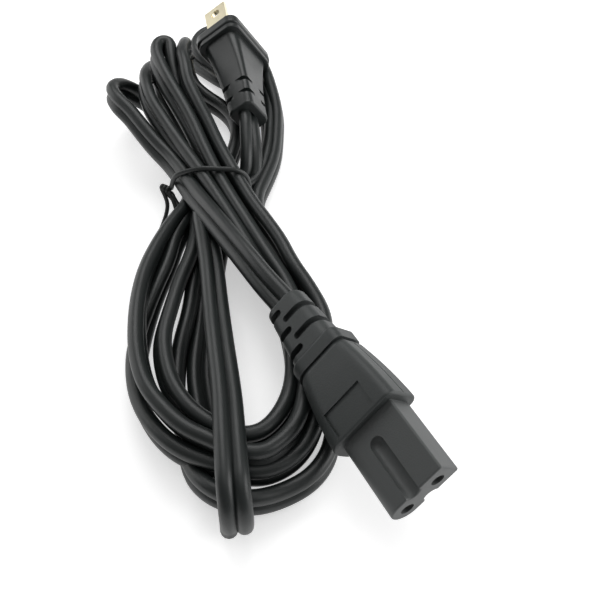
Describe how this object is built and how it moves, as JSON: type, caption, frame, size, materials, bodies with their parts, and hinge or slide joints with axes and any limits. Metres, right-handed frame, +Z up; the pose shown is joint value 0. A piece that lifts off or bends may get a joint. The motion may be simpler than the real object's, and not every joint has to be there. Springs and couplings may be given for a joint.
{
  "type": "power cord",
  "caption": "Mains cord for small appliances, coiled and held by a twist tie: flat twin lead with a blade plug at one end and a polarised socket connector at the other.",
  "frame": {"origin": "on the surface the hank lies on, under the middle of the box round the connector, the plug and the twist tie", "axes": "+Z up from the surface, +Y along the hank from the connector's end towards the plug, +X to the right as the picture shows it"},
  "size_m": [0.0873, 0.1898, 0.0279],
  "materials": {
    "black_plastic": "satin",
    "black_moulding": "satin",
    "bridge_plastic": "matte",
    "cord_jacket": "satin",
    "brass": "polished",
    "copper": "bare copper strands",
    "tie_coating": "satin"
  },
  "bodies": {
    "root": {"contact_carrier": "black_plastic", "left_contact": "brass", "right_contact": "brass", "left_connector_copper": "copper", "right_connector_copper": "copper", "connector_grip": "black_moulding", "plug_body": "black_moulding", "plug_bridge": "bridge_plastic", "wide_blade": "brass", "narrow_blade": "brass", "wide_blade_copper": "copper", "narrow_blade_copper": "copper", "lead_to_connector": "cord_jacket", "lead_to_plug": "cord_jacket", "front_run": "cord_jacket", "side_loop": "cord_jacket", "lower_coil": "cord_jacket", "upper_loops": "cord_jacket", "twist_tie": "tie_coating"}
  },
  "joints": []
}
